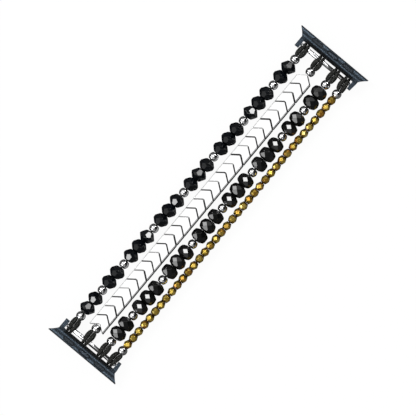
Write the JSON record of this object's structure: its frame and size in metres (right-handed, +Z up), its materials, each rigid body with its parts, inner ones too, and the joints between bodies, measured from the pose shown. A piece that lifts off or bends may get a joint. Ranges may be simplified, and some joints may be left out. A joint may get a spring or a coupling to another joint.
{
  "type": "bead watch band",
  "caption": "Elastic bead watch band: four beaded strands on elastic cord between two slide-in metal lugs that turn on spring bars.",
  "frame": {"origin": "middle of the band on the surface that it lies on", "axes": "+X along the band to the lug that the chevrons point at, +Y across it to the agate strand, +Z up, to the side worn against the wrist"},
  "size_m": [0.1424, 0.0312, 0.0063],
  "materials": {
    "agate": "polished facets",
    "crystal": "polished facets",
    "gold_glass": "metallic coated facets",
    "chevron_metal": "mirror",
    "silver_bead": "mirror",
    "elastic_cord": "matte",
    "cord_loop": "braided",
    "lug_metal": "satin",
    "pad_rubber": "matte",
    "catch_metal": "satin",
    "bar_chrome": "mirror",
    "pin_steel": "turned",
    "spring_steel": "drawn wire"
  },
  "bodies": {
    "segment_1": {"agates_1": "agate", "chevrons_1": "chevron_metal", "crystals_1": "crystal", "golds_1": "gold_glass", "left_end_beads": "silver_bead", "left_cord_loops": "cord_loop"},
    "segment_2": {"agates_2": "agate", "chevrons_2": "chevron_metal", "crystals_2": "crystal", "golds_2": "gold_glass"},
    "segment_3": {"agates_3": "agate", "chevrons_3": "chevron_metal", "crystals_3": "crystal", "golds_3": "gold_glass"},
    "segment_4": {"agates_4": "agate", "chevrons_4": "chevron_metal", "crystals_4": "crystal", "golds_4": "gold_glass"},
    "segment_5": {"agates_5": "agate", "chevrons_5": "chevron_metal", "crystals_5": "crystal", "golds_5": "gold_glass", "elastic_cords": "elastic_cord"},
    "segment_6": {"agates_6": "agate", "chevrons_6": "chevron_metal", "crystals_6": "crystal", "golds_6": "gold_glass"},
    "segment_7": {"agates_7": "agate", "chevrons_7": "chevron_metal", "crystals_7": "crystal", "golds_7": "gold_glass"},
    "segment_8": {"agates_8": "agate", "chevrons_8": "chevron_metal", "crystals_8": "crystal", "golds_8": "gold_glass", "right_end_beads": "silver_bead", "right_cord_loops": "cord_loop"},
    "spacers_1": {"spacer_beads_1": "silver_bead"},
    "spacers_2": {"spacer_beads_2": "silver_bead"},
    "spacers_3": {"spacer_beads_3": "silver_bead"},
    "spacers_4": {"spacer_beads_4": "silver_bead"},
    "spacers_5": {"spacer_beads_5": "silver_bead"},
    "spacers_6": {"spacer_beads_6": "silver_bead"},
    "spacers_7": {"spacer_beads_7": "silver_bead"},
    "left_lug": {"left_lug_body": "lug_metal", "left_friction_pads": "pad_rubber", "left_bar_tube": "bar_chrome", "left_bar_spring": "spring_steel", "left_catch_spring": "spring_steel"},
    "left_catch": {"left_catch": "catch_metal"},
    "left_bar_tip_agate_side": {"left_bar_tip_agate_side": "pin_steel"},
    "left_bar_tip_gold_side": {"left_bar_tip_gold_side": "pin_steel"},
    "right_lug": {"right_lug_body": "lug_metal", "right_friction_pads": "pad_rubber", "right_bar_tube": "bar_chrome", "right_bar_spring": "spring_steel", "right_catch_spring": "spring_steel"},
    "right_catch": {"right_catch": "catch_metal"},
    "right_bar_tip_agate_side": {"right_bar_tip_agate_side": "pin_steel"},
    "right_bar_tip_gold_side": {"right_bar_tip_gold_side": "pin_steel"}
  },
  "joints": [
    {"name": "stretch_1", "type": "slide", "parent": "segment_2", "child": "spacers_1", "axis": [-1, 0, 0], "range_m": [0, 0.002], "stiffness_N_per_m": 150, "springref_m": -0.0005},
    {"name": "flex_1", "type": "hinge", "parent": "spacers_1", "child": "segment_1", "pos_m": [-0.04953, 0, 0.00512], "axis": [0, 1, 0], "range_deg": [-2, 35]},
    {"name": "stretch_2", "type": "slide", "parent": "segment_3", "child": "spacers_2", "axis": [-1, 0, 0], "range_m": [0, 0.002], "stiffness_N_per_m": 150, "springref_m": -0.0005},
    {"name": "flex_2", "type": "hinge", "parent": "spacers_2", "child": "segment_2", "pos_m": [-0.03503, 0, 0.00512], "axis": [0, 1, 0], "range_deg": [-2, 35]},
    {"name": "stretch_3", "type": "slide", "parent": "segment_4", "child": "spacers_3", "axis": [-1, 0, 0], "range_m": [0, 0.002], "stiffness_N_per_m": 150, "springref_m": -0.0005},
    {"name": "flex_3", "type": "hinge", "parent": "spacers_3", "child": "segment_3", "pos_m": [-0.01826, 0, 0.00512], "axis": [0, 1, 0], "range_deg": [-2, 35]},
    {"name": "stretch_4", "type": "slide", "parent": "segment_5", "child": "spacers_4", "axis": [-1, 0, 0], "range_m": [0, 0.002], "stiffness_N_per_m": 150, "springref_m": -0.0005},
    {"name": "flex_4", "type": "hinge", "parent": "spacers_4", "child": "segment_4", "pos_m": [-0.00147, 0, 0.00512], "axis": [0, 1, 0], "range_deg": [-2, 35]},
    {"name": "stretch_5", "type": "slide", "parent": "segment_5", "child": "spacers_5", "axis": [1, 0, 0], "range_m": [0, 0.002], "stiffness_N_per_m": 150, "springref_m": -0.0005, "deforming": ["elastic_cords"]},
    {"name": "flex_5", "type": "hinge", "parent": "spacers_5", "child": "segment_6", "pos_m": [0.01826, 0, 0.00512], "axis": [0, -1, 0], "range_deg": [-2, 35]},
    {"name": "stretch_6", "type": "slide", "parent": "segment_6", "child": "spacers_6", "axis": [1, 0, 0], "range_m": [0, 0.002], "stiffness_N_per_m": 150, "springref_m": -0.0005},
    {"name": "flex_6", "type": "hinge", "parent": "spacers_6", "child": "segment_7", "pos_m": [0.03503, 0, 0.00512], "axis": [0, -1, 0], "range_deg": [-2, 35]},
    {"name": "stretch_7", "type": "slide", "parent": "segment_7", "child": "spacers_7", "axis": [1, 0, 0], "range_m": [0, 0.002], "stiffness_N_per_m": 150, "springref_m": -0.0005},
    {"name": "flex_7", "type": "hinge", "parent": "spacers_7", "child": "segment_8", "pos_m": [0.04953, 0, 0.00512], "axis": [0, -1, 0], "range_deg": [-2, 35]},
    {"name": "left_lug_pivot", "type": "hinge", "parent": "segment_1", "child": "left_lug", "pos_m": [-0.0657, 0, 0.00315], "axis": [0, 1, 0], "range_deg": [-60, 60]},
    {"name": "left_catch_press", "type": "slide", "parent": "left_lug", "child": "left_catch", "axis": [0, 0, -1], "range_m": [0, 0.0005], "stiffness_N_per_m": 300, "springref_m": -0.0005, "deforming": ["left_catch_spring"]},
    {"name": "left_tip_press_agate_side", "type": "slide", "parent": "left_lug", "child": "left_bar_tip_agate_side", "axis": [0, -1, 0], "range_m": [0, 0.0012], "stiffness_N_per_m": 400, "springref_m": -0.001, "deforming": ["left_bar_spring"]},
    {"name": "left_tip_press_gold_side", "type": "slide", "parent": "left_lug", "child": "left_bar_tip_gold_side", "axis": [0, 1, 0], "range_m": [0, 0.0012], "stiffness_N_per_m": 400, "springref_m": -0.001},
    {"name": "right_lug_pivot", "type": "hinge", "parent": "segment_8", "child": "right_lug", "pos_m": [0.0657, 0, 0.00315], "axis": [0, -1, 0], "range_deg": [-60, 60]},
    {"name": "right_catch_press", "type": "slide", "parent": "right_lug", "child": "right_catch", "axis": [0, 0, -1], "range_m": [0, 0.0005], "stiffness_N_per_m": 300, "springref_m": -0.0005, "deforming": ["right_catch_spring"]},
    {"name": "right_tip_press_agate_side", "type": "slide", "parent": "right_lug", "child": "right_bar_tip_agate_side", "axis": [0, -1, 0], "range_m": [0, 0.0012], "stiffness_N_per_m": 400, "springref_m": -0.001, "deforming": ["right_bar_spring"]},
    {"name": "right_tip_press_gold_side", "type": "slide", "parent": "right_lug", "child": "right_bar_tip_gold_side", "axis": [0, 1, 0], "range_m": [0, 0.0012], "stiffness_N_per_m": 400, "springref_m": -0.001}
  ],
  "couplings": [
    {"joint": "stretch_1", "follows": "stretch_5", "ratio": 1},
    {"joint": "stretch_2", "follows": "stretch_5", "ratio": 1},
    {"joint": "stretch_3", "follows": "stretch_5", "ratio": 1},
    {"joint": "stretch_4", "follows": "stretch_5", "ratio": 1},
    {"joint": "stretch_6", "follows": "stretch_5", "ratio": 1},
    {"joint": "stretch_7", "follows": "stretch_5", "ratio": 1}
  ]
}
